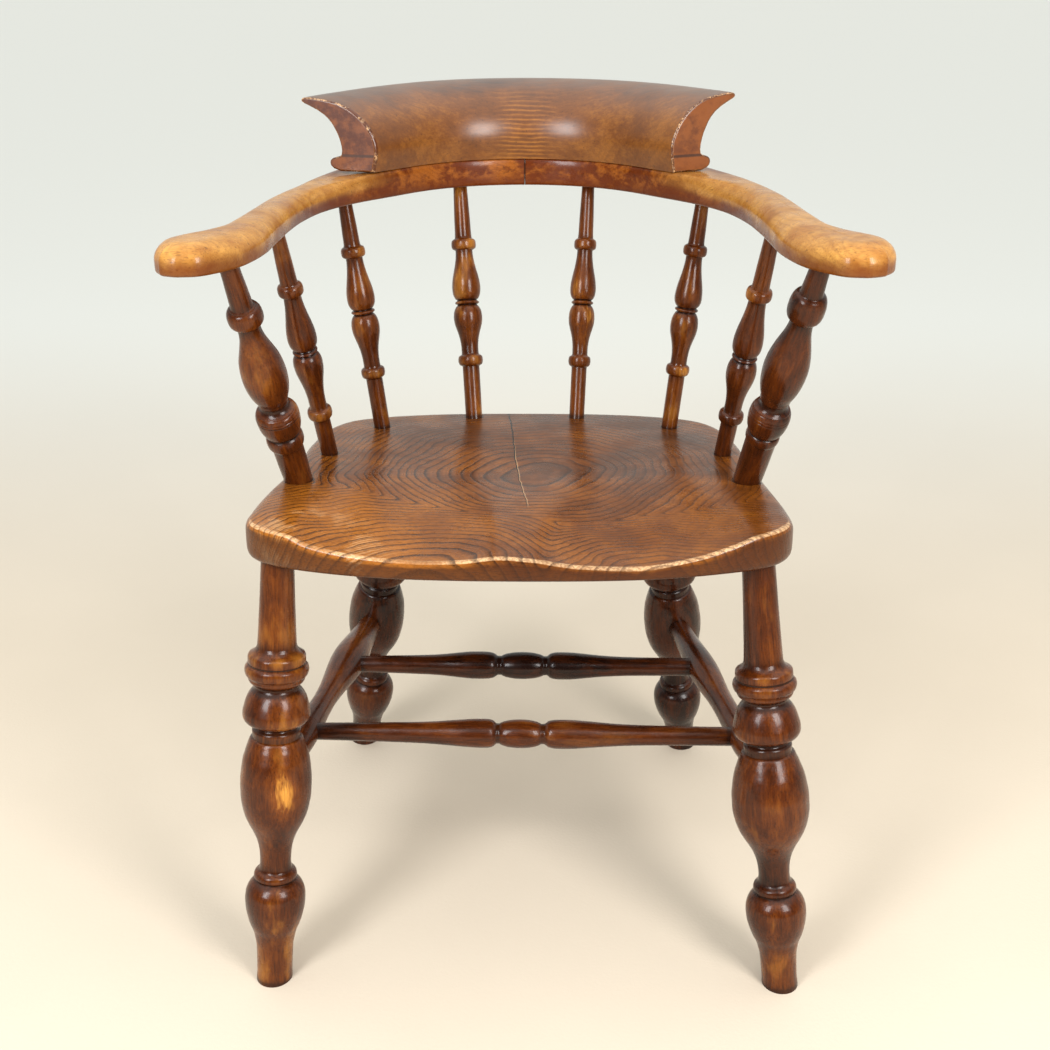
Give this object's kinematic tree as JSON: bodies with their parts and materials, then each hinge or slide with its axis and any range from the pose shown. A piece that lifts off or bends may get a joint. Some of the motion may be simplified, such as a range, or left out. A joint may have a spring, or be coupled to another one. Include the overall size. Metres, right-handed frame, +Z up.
{
  "type": "captains chair",
  "caption": "Wooden captain's chair with a saddled plank seat, turned legs, stretchers and spindles, and a level bow that forms the arms and carries a scooped crest rail.",
  "frame": {"origin": "on the floor, under the middle of the chair's bounding box", "axes": "+Z up, the chair faces -Y, +X to the viewer's right when looking at its front"},
  "size_m": [0.6006, 0.5638, 0.7873],
  "materials": {
    "seat_elm": "waxed",
    "arm_elm": "waxed and worn",
    "crest_elm": "polished",
    "turned_ash": "stained and polished",
    "dowel_beech": "bare",
    "screw_steel": "plain"
  },
  "bodies": {
    "root": {"seat": "seat_elm", "arm_left": "arm_elm", "arm_right": "arm_elm", "crest_rail": "crest_elm", "leg_front_left": "turned_ash", "leg_front_right": "turned_ash", "leg_back_left": "turned_ash", "leg_back_right": "turned_ash", "stretcher_side_left": "turned_ash", "stretcher_side_right": "turned_ash", "stretcher_cross_front": "turned_ash", "stretcher_cross_back": "turned_ash", "arm_post_left": "turned_ash", "arm_post_right": "turned_ash", "spindle_side_left": "turned_ash", "spindle_side_right": "turned_ash", "spindle_rear_left": "turned_ash", "spindle_rear_right": "turned_ash", "spindle_centre_left": "turned_ash", "spindle_centre_right": "turned_ash", "bow_dowel_1": "dowel_beech", "bow_dowel_2": "dowel_beech", "crest_screw_1": "screw_steel", "crest_screw_2": "screw_steel", "crest_screw_3": "screw_steel", "crest_screw_4": "screw_steel"}
  },
  "joints": []
}
